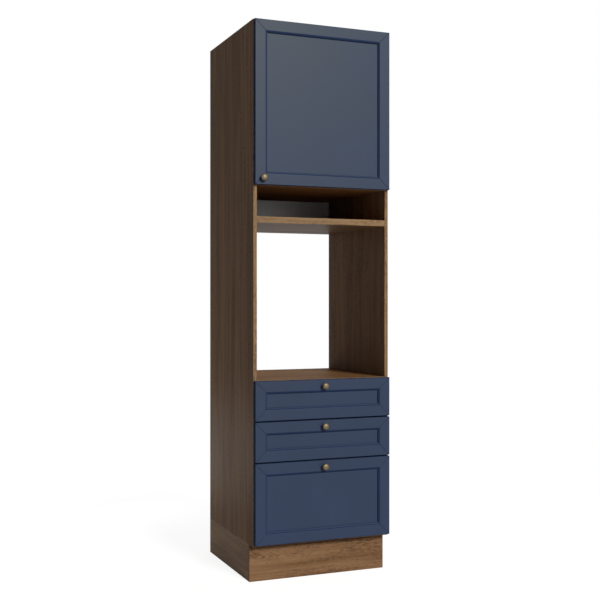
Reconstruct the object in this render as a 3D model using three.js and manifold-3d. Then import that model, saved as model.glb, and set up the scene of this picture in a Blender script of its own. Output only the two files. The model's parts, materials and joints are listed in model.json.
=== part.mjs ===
// Tall kitchen housing for a built-in oven: a plinth, a carcass of faced chipboard with an open
// oven space and a small open niche, a cupboard with one door above and three drawers below.
// Millimetres, +Z up. The fronts face -Y. The origin is on the floor, under the middle of the
// unit's outline from knob to back.

import * as THREE from 'three';
import { mergeVertices } from 'three/addons/utils/BufferGeometryUtils.js';
import Module from 'manifold-3d';

const wasm = await Module();
wasm.setup();

// ---- Driving dimensions ----

// Carcass and plinth
const width = 600; // over the side panels
const boardDepth = 580; // of the carcass boards, front edge to back edge
const board = 15; // faced chipboard of the carcass and the plinth
const ovenShelf = 25; // thicker shelf over the oven
const backSheet = 3; // white hardboard, nailed on behind
const backMargin = 2; // carcass edge left bare round a back sheet
const plinthHeight = 150;
const plinthSetback = 47; // toe space in front of the plinth
const drawerSpace = 635; // clear heights between the boards, from the bottom up
const ovenSpace = 632;
const nicheSpace = 125;
const cupboardSpace = 633;
const innerShelfSetback = 40;

// Fronts: a mitred frame, rounded down on its inner side to a recessed panel
const frontThickness = 18;
const frontGap = 2; // air between a closed front and the carcass, kept by its buffers
const sideReveal = 1.5; // carcass edge left showing beside a front
const topReveal = 2.5;
const doorOverhang = 1; // cupboard floor left showing under the door
const deckReveal = 1.5;
const bottomReveal = 7;
const drawerGap = 4.5; // between one drawer front and the next
const shallowFront = 160; // height of the two upper drawer fronts
const frameFlat = 42; // flat face of a frame member
const mouldingWidth = 11; // quarter-round from the flat down to the panel
const panelThickness = 6;
const panelRecess = 8.5;
const edgeRadius = 2;
const backEdgeRadius = 1; // broken outer edge behind
const panelTongue = 5; // depth of the panel's edge in the frame's groove
const grooveSlack = 0.3; // air beyond an edge that sits in a groove
const mitreGap = 0.3;
const mitreLine = 1.6; // width and depth of the fine groove along each mitre
const mitreLineDepth = 1.2;

// Knobs
const knobDiameter = 29;
const knobReach = 25;
const knobFoot = 17;
const knobFootRim = 1.5; // straight edge of the foot
const knobNeck = 11;
const knobNeckStart = 5; // the straight neck, from the face of the front
const knobNeckEnd = 8;
const knobUnderside = 11.2; // level underside of the head
const knobShoulder = 20; // width of that underside
const knobWidest = 16.7; // height of the widest part
const drawerKnobDrop = 26; // knob centre under a drawer front's top edge
const doorKnobInset = 33.5; // knob centre from the door's free edge
const doorKnobRise = 27; // and above its lower edge

// Concealed hinges
const hingeInset = 100; // hinge centre from the door's top and bottom edge
const cupBore = 35;
const cupTab = 3; // wood left between the cup's bore and the door's edge
const cupBoreDepth = 14.3;
const cupFit = 0.2; // air round a cup in its bore
const cupSeat = 0.1; // air under its rim
const cupWall = 0.6;
const cupRim = 37;
const cupRimThickness = 0.8;
const cupEarSpread = 45; // between the two screws of a cup
const cupEarOffset = 9.5; // screws further in than the cup's centre
const cupEarWidth = 11;
const pinInset = 6.6; // hinge axis from the door's edge
const pinDepth = 11.5; // and in from the door's inner face
const pinDiameter = 1.8;
const knuckleBore = 2.4;
const knuckleDiameter = 3.4;
const armWall = 2;
const noseThickness = 1.8;
const noseWidth = 8;
const armClearance = 15; // hinge axis to the near face of the arm
const armWidth = 19;
const armChannelWall = 1.5;
const armWingGap = 0.6; // air between the channel and the wings of the mounting plate
const armStart = 9; // channel of the arm, from the carcass front edge
const armEnd = 62;
const plateHole = 37; // screw line of a mounting plate, from the carcass front edge
const plateWingSpan = 48;
const plateWingWidth = 14;
const plateWingThickness = 2.5;
const plateBlockStart = 15;
const plateBlockEnd = 58;
const plateBlockWidth = 15;

// Drawer boxes
const boxLength = 450;
const boxSide = 12;
const boxRise = 23; // box above the front's lower edge
const boxDrop = 37; // box under the front's upper edge
const boxBottom = 3;
const boxBottomRise = 10; // groove for the bottom, above the box's lower edge
const boxGroove = 6;

// Roller runners, in the space between a drawer side and the carcass
const runnerSpace = 12.5;
const runnerLength = 450;
const runnerSetback = 2; // runner from the carcass front edge
const sheet = 1.2; // folded steel
const rollerGap = 0.3; // air over and under a roller
const frontRoller = 19;
const rearRoller = 17;
const rollerSetIn = 12; // roller centre from the runner's end
const rollerWidth = 7;
const axleDiameter = 5;
const lipWidth = 8;
const lipStart = 26; // channel lip, cut away to let the front roller through
const underFlange = 9.5; // flange under the drawer side
const topFlangeClearance = 3; // flange on the roller, from the carcass side
const runnerTravel = 340;

// Facets of the round forms
const curveFacets = 4; // along a curve of an outline, where an arc gets twice as many
const wingFacets = 6; // the same, for the round ends of hinge plates and cup ears
const knobSides = 20;
const cupSides = 32;
const rollerSides = 24;
const pinSides = 16;
const mergeDistance = 1e-4; // corners nearer than this are one

// ---- Heights and planes that follow ----

const half = width / 2;
const inside = half - board;
const carcassBottom = plinthHeight;
const bottomTop = carcassBottom + board;
const deckUnderside = bottomTop + drawerSpace;
const deckTop = deckUnderside + board;
const ovenShelfUnderside = deckTop + ovenSpace;
const ovenShelfTop = ovenShelfUnderside + ovenShelf;
const floorUnderside = ovenShelfTop + nicheSpace;
const floorTop = floorUnderside + board;
const topUnderside = floorTop + cupboardSpace;
const height = topUnderside + board;
const depth = boardDepth + backSheet;
const frontHalf = half - sideReveal;
const frameWidth = frameFlat + mouldingWidth;
const frontFace = -frontGap - frontThickness;
const unitShift = (frontFace - knobReach + depth) / 2;

// ---- Geometry helpers ----

// Moves every vertex by a rule and keeps the faces pointing outwards
function reshape(source, rule) {
  const geometry = source.index ? source.toNonIndexed() : source;
  const position = geometry.attributes.position;
  const point = new THREE.Vector3();
  for (let i = 0; i < position.count; i += 1) {
    point.fromBufferAttribute(position, i);
    position.setXYZ(i, ...rule(point.x, point.y, point.z));
  }
  return facingOut(geometry);
}

function facingOut(geometry) {
  const position = geometry.attributes.position;
  const corners = [new THREE.Vector3(), new THREE.Vector3(), new THREE.Vector3()];
  const cross = new THREE.Vector3();
  let volume = 0;
  for (let i = 0; i < position.count; i += 3) {
    corners.forEach((corner, k) => corner.fromBufferAttribute(position, i + k));
    volume += corners[0].dot(cross.crossVectors(corners[1], corners[2]));
  }
  if (volume < 0) {
    for (let i = 0; i < position.count; i += 3) {
      corners.forEach((corner, k) => corner.fromBufferAttribute(position, i + k));
      position.setXYZ(i + 1, corners[2].x, corners[2].y, corners[2].z);
      position.setXYZ(i + 2, corners[1].x, corners[1].y, corners[1].z);
    }
  }
  return geometry;
}

// A block between the given limits, its corners written straight from them
function block([x0, x1], [y0, y1], [z0, z1]) {
  return reshape(new THREE.BoxGeometry(2, 2, 2), (x, y, z) => [
    x < 0 ? x0 : x1,
    y < 0 ? y0 : y1,
    z < 0 ? z0 : z1,
  ]);
}

// An outline drawn out between two limits; the rule places (across, up, along)
function drawOut(outline, [from, to], rule) {
  const options = { depth: 1, bevelEnabled: false, curveSegments: wingFacets };
  const geometry = new THREE.ExtrudeGeometry(outline, options);
  return reshape(geometry, (a, b, t) => rule(a, b, t < 0.5 ? from : to));
}

function polygon(points) {
  return new THREE.Shape(points.map(([a, b]) => new THREE.Vector2(a, b)));
}

// A round bar between two limits along X, Y or Z
function bar(axis, diameter, [from, to], [a, b], sides) {
  const places = {
    x: (u, v, t) => [t, a + u, b + v],
    y: (u, v, t) => [a + u, t, b + v],
    z: (u, v, t) => [a + u, b + v, t],
  };
  const geometry = new THREE.CylinderGeometry(diameter / 2, diameter / 2, 2, sides);
  return reshape(geometry, (u, t, v) => places[axis](u, v, t < 0 ? from : to));
}

function mirrorX(geometry) {
  return reshape(geometry.clone(), (x, y, z) => [-x, y, z]);
}

function toSolid(geometry) {
  const bare = geometry.clone();
  bare.deleteAttribute('normal');
  bare.deleteAttribute('uv');
  const merged = mergeVertices(bare, mergeDistance);
  const corners = merged.index.array;
  const kept = [];
  for (let i = 0; i < corners.length; i += 3) {
    const [a, b, c] = corners.slice(i, i + 3);
    if (a !== b && b !== c && c !== a) kept.push(a, b, c);
  }
  return new wasm.Manifold(new wasm.Mesh({
    numProp: 3,
    vertProperties: new Float32Array(merged.attributes.position.array),
    triVerts: new Uint32Array(kept),
  }));
}

function toGeometry(solid) {
  const { vertProperties, triVerts } = solid.getMesh();
  const geometry = new THREE.BufferGeometry();
  geometry.setAttribute('position', new THREE.BufferAttribute(vertProperties, 3));
  geometry.setIndex(new THREE.BufferAttribute(triVerts, 1));
  return geometry;
}

function join(first, ...others) {
  return toGeometry(others.reduce((solid, other) => solid.add(toSolid(other)), toSolid(first)));
}

function common(first, second) {
  return toGeometry(toSolid(first).intersect(toSolid(second)));
}

function cut(first, ...tools) {
  return toGeometry(tools.reduce((solid, tool) => solid.subtract(toSolid(tool)), toSolid(first)));
}

// ---- Finishes ----

const finishes = {
  walnutBoard: { color: 0x7a5f47, roughness: 0.55 },
  bluePaint: { color: 0x465470, roughness: 0.45 },
  whiteSheet: { color: 0xdcdad5, roughness: 0.6 },
  agedBrass: { color: 0x8c7650, roughness: 0.35, metalness: 1 },
  nickelSteel: { color: 0xb9bbbd, roughness: 0.3, metalness: 1 },
  whiteSteel: { color: 0xe4e2dc, roughness: 0.45 },
};

function piece(name, geometry, finish) {
  const faceted = geometry.index ? geometry.toNonIndexed() : geometry;
  faceted.computeVertexNormals();
  const mesh = new THREE.Mesh(faceted, new THREE.MeshStandardMaterial(finishes[finish]));
  mesh.name = name;
  return mesh;
}

// ---- Carcass and plinth ----

function makePlinth() {
  const plinthWidth = [-half, half];
  const rise = [0, plinthHeight];
  const behindFront = plinthSetback + board;
  const beforeBack = boardDepth - board;
  const plinth = new THREE.Group();
  plinth.add(
    piece('plinth_front', block(plinthWidth, [plinthSetback, behindFront], rise), 'walnutBoard'),
    piece('plinth_left_side', block([-half, -inside], [behindFront, boardDepth], rise), 'walnutBoard'),
    piece('plinth_right_side', block([inside, half], [behindFront, boardDepth], rise), 'walnutBoard'),
    piece('plinth_back', block([-inside, inside], [beforeBack, boardDepth], rise), 'walnutBoard'),
  );
  return plinth;
}

function makeCarcass() {
  const sideHeight = [carcassBottom, height];
  const fullDepth = [0, boardDepth];
  const carcass = new THREE.Group();
  carcass.add(
    piece('left_side_panel', block([-half, -inside], fullDepth, sideHeight), 'walnutBoard'),
    piece('right_side_panel', block([inside, half], fullDepth, sideHeight), 'walnutBoard'),
  );
  const innerShelfMiddle = (floorTop + topUnderside) / 2;
  const innerShelfRise = [innerShelfMiddle - board / 2, innerShelfMiddle + board / 2];
  const crossBoards = [
    ['bottom_panel', fullDepth, [carcassBottom, bottomTop]],
    ['oven_deck', fullDepth, [deckUnderside, deckTop]],
    ['oven_shelf', fullDepth, [ovenShelfUnderside, ovenShelfTop]],
    ['cupboard_floor', fullDepth, [floorUnderside, floorTop]],
    ['cupboard_shelf', [innerShelfSetback, boardDepth], innerShelfRise],
    ['top_panel', fullDepth, [topUnderside, height]],
  ];
  for (const [name, reach, rise] of crossBoards) {
    carcass.add(piece(name, block([-inside, inside], reach, rise), 'walnutBoard'));
  }
  const sheetWidth = [-half + backMargin, half - backMargin];
  const sheetDepth = [boardDepth, depth];
  const backSheets = [
    ['lower_back_panel', [carcassBottom + backMargin, deckTop - backMargin]],
    ['upper_back_panel', [ovenShelfUnderside + backMargin, height - backMargin]],
  ];
  for (const [name, rise] of backSheets) {
    carcass.add(piece(name, block(sheetWidth, sheetDepth, rise), 'whiteSheet'));
  }
  return carcass;
}

// ---- Fronts ----

// Section of the frame, from its outer edge inwards and from its face to its back
function frameSection() {
  const groove = frameWidth - panelTongue - grooveSlack;
  const section = new THREE.Shape();
  const backArc = frontThickness - backEdgeRadius;
  section.moveTo(backEdgeRadius, frontThickness);
  section.absarc(backEdgeRadius, backArc, backEdgeRadius, 0.5 * Math.PI, Math.PI);
  section.lineTo(0, edgeRadius);
  section.absarc(edgeRadius, edgeRadius, edgeRadius, Math.PI, 1.5 * Math.PI);
  section.lineTo(frameFlat, 0);
  section.absellipse(frameFlat, panelRecess, mouldingWidth, panelRecess, 1.5 * Math.PI, 2 * Math.PI);
  section.lineTo(groove, panelRecess);
  section.lineTo(groove, panelRecess + panelThickness + grooveSlack);
  section.lineTo(frameWidth, panelRecess + panelThickness + grooveSlack);
  section.lineTo(frameWidth, frontThickness);
  return section;
}

// Places a point of the section on one side of a front that spans x and z
const framePlaces = {
  left: ([x0]) => (a, d, t) => [x0 + a, frontFace + d, t],
  right: ([, x1]) => (a, d, t) => [x1 - a, frontFace + d, t],
  bottom: (x, [z0]) => (a, d, t) => [t, frontFace + d, z0 + a],
  top: (x, [, z1]) => (a, d, t) => [t, frontFace + d, z1 - a],
};

// One frame member, each end cut back at 45 degrees by the distance from the outer edge
function frameMember(side, x, z, gap) {
  const [low, high] = side === 'left' || side === 'right' ? z : x;
  const place = framePlaces[side](x, z);
  const options = { depth: 1, bevelEnabled: false, curveSegments: curveFacets };
  const geometry = new THREE.ExtrudeGeometry(frameSection(), options);
  const inset = gap / Math.SQRT2;
  const mitred = reshape(geometry, (a, d, t) => (
    place(a, d, t < 0.5 ? low + a + inset : high - a - inset)
  ));
  return cut(mitred, ...mitreLines(x, z));
}

// The four wedges that mark the mitres on the face and run out on the moulding
function mitreLines([x0, x1], [z0, z1]) {
  const run = [-edgeRadius, frameFlat + mouldingWidth / 2];
  const wedge = polygon([[-mitreLine, -mitreLineDepth], [mitreLine, -mitreLineDepth], [0, mitreLineDepth]]);
  const corners = [[x0, 1, z0, 1], [x1, -1, z0, 1], [x1, -1, z1, -1], [x0, 1, z1, -1]];
  return corners.map(([x, inX, z, inZ]) => (
    drawOut(wedge, run, (a, d, t) => [
      x + inX * (t + a / Math.SQRT2),
      frontFace + d,
      z + inZ * (t - a / Math.SQRT2),
    ])
  ));
}

// The whole frame as one ring of the section, turned at its four corners
function frameRing([x0, x1], [z0, z1]) {
  const { shape } = frameSection().extractPoints(curveFacets);
  const ring = shape.map(({ x: a, y: d }) => [
    [x0 + a, frontFace + d, z0 + a],
    [x1 - a, frontFace + d, z0 + a],
    [x1 - a, frontFace + d, z1 - a],
    [x0 + a, frontFace + d, z1 - a],
  ]);
  const vertices = [];
  ring.forEach((here, i) => {
    const next = ring[(i + 1) % ring.length];
    for (let k = 0; k < 4; k += 1) {
      const m = (k + 1) % 4;
      vertices.push(...here[k], ...here[m], ...next[m], ...here[k], ...next[m], ...next[k]);
    }
  });
  const geometry = new THREE.BufferGeometry();
  geometry.setAttribute('position', new THREE.BufferAttribute(new Float32Array(vertices), 3));
  return cut(facingOut(geometry), ...mitreLines([x0, x1], [z0, z1]));
}

function frontPanel([x0, x1], [z0, z1]) {
  const edge = frameWidth - panelTongue;
  const panelFace = frontFace + panelRecess + grooveSlack / 2;
  return block([x0 + edge, x1 - edge], [panelFace, panelFace + panelThickness], [z0 + edge, z1 - edge]);
}

// A turned knob: a flat foot, a cove in to the neck and out under the head, and a domed crown.
// Each curve bends towards the corner that it rounds.
function knobShape() {
  const [foot, neck] = [knobFoot / 2, knobNeck / 2];
  const [shoulder, head] = [knobShoulder / 2, knobDiameter / 2];
  const outline = new THREE.Path();
  outline.moveTo(0, 0);
  outline.lineTo(foot, 0);
  outline.lineTo(foot, knobFootRim);
  outline.quadraticCurveTo(neck, knobFootRim, neck, knobNeckStart);
  outline.lineTo(neck, knobNeckEnd);
  outline.quadraticCurveTo(neck, knobUnderside, shoulder, knobUnderside);
  outline.quadraticCurveTo(head, knobUnderside, head, knobWidest);
  outline.quadraticCurveTo(head, knobReach, 0, knobReach);
  const lathe = new THREE.LatheGeometry(outline.getPoints(curveFacets), knobSides);
  return reshape(lathe, (x, y, z) => [x, -y, z]);
}

function knob(name, x, z) {
  const mesh = piece(name, knobShape(), 'agedBrass');
  mesh.position.set(x, frontFace, z);
  return mesh;
}

// ---- Door and hinges ----

const doorBottom = floorUnderside + doorOverhang;
const doorHeight = height - topReveal - doorBottom;
const hingeHeights = { lower: hingeInset, upper: doorHeight - hingeInset };
const pinX = frontHalf - pinInset;
const pinY = -frontGap - pinDepth;
const cupX = frontHalf - cupTab - cupBore / 2;

// The door's group turns about the hinge pins; its pieces are drawn with the carcass front
// edge at y = 0 and the unit's middle at x = 0, then set back to the pins
function makeDoor() {
  const door = new THREE.Group();
  const leaf = new THREE.Group();
  const x = [-frontHalf, frontHalf];
  const z = [0, doorHeight];
  const cupBores = Object.values(hingeHeights).map((level) => (
    bar('y', cupBore, [-frontGap - cupBoreDepth, 0], [cupX, level], cupSides)
  ));
  const names = { left: 'left_stile', right: 'right_stile', bottom: 'bottom_rail', top: 'top_rail' };
  for (const [side, name] of Object.entries(names)) {
    const member = frameMember(side, x, z, mitreGap);
    const bored = side === 'right' ? cut(member, ...cupBores) : member;
    leaf.add(piece(`door_${name}`, bored, 'bluePaint'));
  }
  leaf.add(
    piece('door_panel', frontPanel(x, z), 'bluePaint'),
    knob('door_knob', -frontHalf + doorKnobInset, doorKnobRise),
  );
  for (const [place, level] of Object.entries(hingeHeights)) {
    const cup = piece(`${place}_hinge_cup`, hingeCup(), 'nickelSteel');
    cup.position.set(cupX, -frontGap + cupSeat, level);
    leaf.add(cup);
  }
  leaf.position.set(-pinX, -pinY, 0);
  door.add(leaf);
  door.position.set(pinX, pinY, doorBottom);
  return door;
}

// Cup of a hinge: its mouth at y = 0 faces the cupboard, its pin stands across the inside
function hingeCup() {
  const outer = cupBore / 2 - cupFit;
  const inner = outer - cupWall;
  const floor = -cupBoreDepth + cupFit;
  const profile = [
    [0, floor], [outer, floor], [outer, 0], [cupRim / 2, 0], [cupRim / 2, cupRimThickness],
    [inner, cupRimThickness], [inner, floor + cupWall], [0, floor + cupWall],
  ].map(([radius, y]) => new THREE.Vector2(radius, y));
  const cup = reshape(new THREE.LatheGeometry(profile, cupSides), (x, y, z) => [x, y, z]);
  const earRadius = cupEarWidth / 2;
  const earReach = cupEarSpread / 2;
  const ears = new THREE.Shape();
  ears.absarc(-cupEarOffset, earReach, earRadius, 0, Math.PI);
  ears.absarc(-cupEarOffset, -earReach, earRadius, Math.PI, 2 * Math.PI);
  const earPlate = drawOut(ears, [0, cupRimThickness], (a, b, t) => [a, t, b]);
  const middle = 2 * inner + cupWall;
  const mouth = bar('y', middle, [-cupWall, 2 * cupRimThickness], [0, 0], cupSides);
  const pin = bar('z', pinDiameter, [-outer, outer], [pinX - cupX, -pinDepth - cupSeat], pinSides);
  const pinRoom = bar('y', middle, [floor, 0], [0, 0], cupSides);
  return join(cup, cut(earPlate, mouth), common(pin, pinRoom));
}

// Arm of a hinge: a channel over the mounting plate, a bent nose and the knuckle on the pin.
// Drawn with the side panel's inner face at x = 0 and the hinge's height at z = 0.
function hingeArm() {
  const webNear = pinX - inside - armClearance;
  const webFar = webNear - armWall;
  const noseBack = pinY + noseThickness / 2;
  const noseFront = pinY - noseThickness / 2;
  const pin = pinX - inside;
  const bend = armWall;
  const nose = new THREE.Shape();
  nose.moveTo(webFar, armStart);
  nose.lineTo(webFar, noseFront + bend);
  nose.absarc(webFar + bend, noseFront + bend, bend, Math.PI, 1.5 * Math.PI);
  nose.lineTo(pin, noseFront);
  nose.lineTo(pin, noseBack);
  nose.lineTo(webNear, noseBack);
  nose.lineTo(webNear, armStart);
  const noseHalf = noseWidth / 2;
  const place = (a, b, t) => [a, b, t];
  const nosePart = drawOut(nose, [-noseHalf, noseHalf], place);
  const knuckle = bar('z', knuckleDiameter, [-noseHalf, noseHalf], [pin, pinY], pinSides);
  const bore = bar('z', knuckleBore, [-noseWidth, noseWidth], [pin, pinY], pinSides);
  const outer = armWidth / 2;
  const inner = outer - armChannelWall;
  const cheekEdge = -plateWingThickness - armWingGap;
  const channel = polygon([
    [webFar, -outer], [cheekEdge, -outer], [cheekEdge, -inner], [webNear, -inner],
    [webNear, inner], [cheekEdge, inner], [cheekEdge, outer], [webFar, outer],
  ]);
  const body = drawOut(channel, [armStart, armEnd], (a, b, t) => [a, t, b]);
  return cut(join(body, nosePart, knuckle), bore);
}

// Mounting plate: wings on the side panel and a block that carries the arm
function mountingPlate() {
  const wingHalf = plateWingWidth / 2;
  const wingReach = plateWingSpan / 2 - wingHalf;
  const wings = new THREE.Shape();
  wings.absarc(plateHole, wingReach, wingHalf, 0, Math.PI);
  wings.absarc(plateHole, -wingReach, wingHalf, Math.PI, 2 * Math.PI);
  const base = drawOut(wings, [-plateWingThickness, 0], (a, b, t) => [t, a, b]);
  const blockHalf = plateBlockWidth / 2;
  const carried = pinX - inside - armClearance;
  const raised = block([carried, 0], [plateBlockStart, plateBlockEnd], [-blockHalf, blockHalf]);
  return join(base, raised);
}

function makeHingeMounts() {
  const mounts = new THREE.Group();
  for (const [place, level] of Object.entries(hingeHeights)) {
    const arm = piece(`${place}_hinge_arm`, hingeArm(), 'nickelSteel');
    const plate = piece(`${place}_hinge_plate`, mountingPlate(), 'nickelSteel');
    for (const part of [arm, plate]) {
      part.position.set(inside, 0, doorBottom + level);
      mounts.add(part);
    }
  }
  return mounts;
}

// ---- Drawers and runners ----

const lowestFront = carcassBottom + bottomReveal;
const firstTop = deckTop - deckReveal;
const secondTop = firstTop - shallowFront - drawerGap;
const thirdTop = secondTop - shallowFront - drawerGap;
const drawers = [
  { number: 1, bottom: firstTop - shallowFront, front: shallowFront },
  { number: 2, bottom: secondTop - shallowFront, front: shallowFront },
  { number: 3, bottom: lowestFront, front: thirdTop - lowestFront },
];
const boxHalf = inside - runnerSpace;
const boxInside = boxHalf - boxSide;

// Levels of a runner, above the lower edge of the drawer box that it carries
const rearAxle = rearRoller / 2 - sheet - rollerGap;
const trackTop = -sheet - 2 * rollerGap;
const trackBottom = trackTop - sheet;
const lipBottom = rearAxle + rearRoller / 2 + rollerGap;
const frontAxle = lipBottom - 2 * sheet;
const flangeUnderside = frontAxle + frontRoller / 2 + rollerGap;

// One drawer: its group moves along -Y; z = 0 is the lower edge of its front
function makeDrawer({ number, bottom, front }) {
  const drawer = new THREE.Group();
  const x = [-frontHalf, frontHalf];
  const z = [0, front];
  const start = -frontGap;
  const end = start + boxLength;
  const boxTop = front - boxDrop;
  const sheetUnder = boxRise + boxBottomRise;
  const sheetTop = sheetUnder + boxBottom;
  const sheetHalf = boxInside + boxGroove - grooveSlack;
  const grooveRise = [sheetUnder, sheetTop + grooveSlack];
  const groove = block([-boxInside - boxGroove, boxInside + boxGroove], [start - boxGroove, end], grooveRise);
  const rightSide = block([boxInside, boxHalf], [start, end], [boxRise, boxTop]);
  const parts = {
    front_frame: [cut(frameRing(x, z), groove), 'bluePaint'],
    front_panel: [frontPanel(x, z), 'bluePaint'],
    left_side: [cut(mirrorX(rightSide), groove), 'walnutBoard'],
    right_side: [cut(rightSide, groove), 'walnutBoard'],
    back: [block([-boxInside, boxInside], [end - boxSide, end], [sheetTop, boxTop]), 'walnutBoard'],
    bottom: [
      block([-sheetHalf, sheetHalf], [start - boxGroove + grooveSlack, end], [sheetUnder, sheetTop]),
      'whiteSheet',
    ],
  };
  for (const [name, [geometry, finish]] of Object.entries(parts)) {
    drawer.add(piece(`drawer_${number}_${name}`, geometry, finish));
  }
  drawer.add(knob(`drawer_${number}_knob`, 0, front - drawerKnobDrop));
  const runner = drawerRunner();
  for (const [side, geometry, at] of [['left', mirrorX(runner), -boxHalf], ['right', runner, boxHalf]]) {
    const member = piece(`drawer_${number}_${side}_runner`, geometry, 'whiteSteel');
    member.position.set(at, start, boxRise);
    drawer.add(member);
  }
  drawer.position.z = bottom;
  return drawer;
}

// Runner on the right of a drawer box: x = 0 is the box side's outer face, z = 0 its lower edge
function drawerRunner() {
  const flangeTop = flangeUnderside + sheet;
  const flangeEdge = runnerSpace - topFlangeClearance;
  const section = polygon([
    [sheet, -sheet], [sheet, flangeUnderside], [flangeEdge, flangeUnderside], [flangeEdge, flangeTop],
    [0, flangeTop], [0, 0], [-underFlange, 0], [-underFlange, -sheet],
  ]);
  const rail = drawOut(section, [0, runnerLength], (a, b, t) => [a, t, b]);
  const axleEnd = 2 * sheet;
  const centre = [runnerLength - rollerSetIn, rearAxle];
  const axle = bar('x', axleDiameter, [0, axleEnd], centre, pinSides);
  const roller = bar('x', rearRoller, [axleEnd, axleEnd + rollerWidth], centre, rollerSides);
  return join(rail, axle, roller);
}

// Runner on the right side panel: x = 0 is the panel's inner face, z = 0 the drawer box's lower edge
function cabinetRunner() {
  const lipTop = lipBottom + sheet;
  const trackEdge = -runnerSpace + 2 * sheet;
  const section = polygon([
    [0, trackBottom], [trackEdge, trackBottom], [trackEdge, trackTop], [-sheet, trackTop],
    [-sheet, lipBottom], [-lipWidth, lipBottom], [-lipWidth, lipTop], [0, lipTop],
  ]);
  const rail = drawOut(section, [0, runnerLength], (a, b, t) => [a, t, b]);
  const cutaway = block([-runnerSpace, -sheet], [-sheet, lipStart], [lipBottom - sheet, lipTop + sheet]);
  const centre = [rollerSetIn, frontAxle];
  const axleEnd = -2 * sheet;
  const axle = bar('x', axleDiameter, [axleEnd, 0], centre, pinSides);
  const roller = bar('x', frontRoller, [axleEnd - rollerWidth, axleEnd], centre, rollerSides);
  const rollerFront = runnerLength - rollerSetIn - rearRoller / 2 - frontGap - runnerSetback;
  const stopBack = rollerFront - runnerTravel - rollerGap;
  const stop = block([-lipWidth, 0], [stopBack - sheet, stopBack], [trackBottom, rearAxle]);
  return join(cut(rail, cutaway), axle, roller, stop);
}

function makeCabinetRunners() {
  const runners = new THREE.Group();
  const right = cabinetRunner();
  for (const { number, bottom } of drawers) {
    for (const [side, geometry, at] of [['left', mirrorX(right), -inside], ['right', right, inside]]) {
      const runner = piece(`cabinet_runner_${number}_${side}`, geometry, 'whiteSteel');
      runner.position.set(at, runnerSetback, bottom + boxRise);
      runners.add(runner);
    }
  }
  return runners;
}

// ---- The whole unit ----

const unit = new THREE.Group();
unit.add(makePlinth(), makeCarcass(), makeHingeMounts(), makeCabinetRunners(), makeDoor());
drawers.forEach((drawer) => unit.add(makeDrawer(drawer)));
unit.position.y = -unitShift;

export default unit;
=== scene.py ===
"""A tall oven housing unit: finishes, fittings, light and camera round the unit's solids.

Metres, +Z up. The fronts face -Y, and the plinth stands on z = 0.
"""

import json
import math

import bpy
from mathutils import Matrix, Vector


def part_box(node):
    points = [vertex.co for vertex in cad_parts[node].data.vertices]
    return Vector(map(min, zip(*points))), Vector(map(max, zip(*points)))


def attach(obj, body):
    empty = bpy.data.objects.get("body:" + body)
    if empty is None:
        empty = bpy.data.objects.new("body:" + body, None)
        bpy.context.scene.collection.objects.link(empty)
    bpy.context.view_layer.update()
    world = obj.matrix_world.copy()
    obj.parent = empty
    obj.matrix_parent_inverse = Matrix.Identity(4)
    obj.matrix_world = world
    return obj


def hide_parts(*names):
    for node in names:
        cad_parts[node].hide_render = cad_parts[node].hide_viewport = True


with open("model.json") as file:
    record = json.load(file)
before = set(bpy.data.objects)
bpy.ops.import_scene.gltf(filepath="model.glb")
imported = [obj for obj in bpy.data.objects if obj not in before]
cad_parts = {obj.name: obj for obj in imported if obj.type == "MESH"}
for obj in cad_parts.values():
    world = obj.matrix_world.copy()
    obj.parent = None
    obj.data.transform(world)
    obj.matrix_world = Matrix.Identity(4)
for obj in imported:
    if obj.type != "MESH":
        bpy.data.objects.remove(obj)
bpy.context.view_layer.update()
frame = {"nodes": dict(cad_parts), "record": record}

MM = 0.001

# ---- Camera and light, from the photograph's perspective ----

CAMERA_PLACE = (-1.6587, -4.0894, 1.1372)
CAMERA_TURN = math.radians(-22.21)
CAMERA_LENS = 60.956
SENSOR_WIDTH = 36
MIDDLE = Vector((0, -0.29, 1.13))
KEY_PLACE = MIDDLE + Vector((5.0, -27.0, 12.25))
KEY_SIZE = 7.0
KEY_POWER = 7400
ROOM_LIGHT = 0.08
LOW_PLACE = Vector((-0.75, 1.45, 0.12))
LOW_TARGET = Vector((-0.3, 0, 0.2))
LOW_SIZE = 0.9
LOW_POWER = 4.4
REAR_PLACE = MIDDLE + Vector((3.0, 5.5, 2.5))
REAR_SIZE = 2.5
REAR_POWER = 60
FLOOR_SIZE = 40
FLOOR_GREY = 0.8
FADE_START, FADE_END = 0.8, 2.6  # from the unit's middle, where the floor's shadow fades out
SHADOW_SHARE = 0.3  # how much of the shadow the floor shows near the unit
NEAR_GLOW = 1.28  # light of its own there, which keeps the unshaded floor white

# ---- Sizes of the edge bands and fittings ----

BAND = 0.45 * MM  # melamine edge band, proud of the board
BAND_JOINT = 0.15 * MM  # hairline where one band meets another
# Outline of a turned knob: radius and distance from the front, from the foot to the crown
KNOB_RINGS = (
    (8.5, 0), (8.5, 1.2), (7.6, 2.2), (5.9, 3.2), (5.5, 5), (5.5, 8), (6.4, 10), (10.2, 11.6),
    (13.4, 13.6), (14.5, 16.6), (13.9, 19.5), (11.4, 22.3), (7.2, 24.2), (3, 24.9),
)
CROWN_WEAR = 0.5  # how far the crown was rubbed back to bright metal
SCREW_RINGS = ((3.6, 0), (3.6, 0.4), (3.3, 0.8), (2.5, 1.05))
RECESS = 0.8  # width of one arm of a cross recess
RECESS_REACH = 1.1
CAP_RINGS = ((8.5, 0), (8.5, 0.5), (7.9, 0.9))
NAIL_RINGS = ((2.5, 0), (2.5, 0.25), (1.9, 0.5))
BUFFER_RINGS = ((4, 0), (4, 0.7), (3.4, 1.2))
SUPPORT_COLLAR = 4.5  # radius of a shelf support's collar
SUPPORT_RINGS = ((SUPPORT_COLLAR, 0), (SUPPORT_COLLAR, 1.2), (3.9, 1.6))
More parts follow.
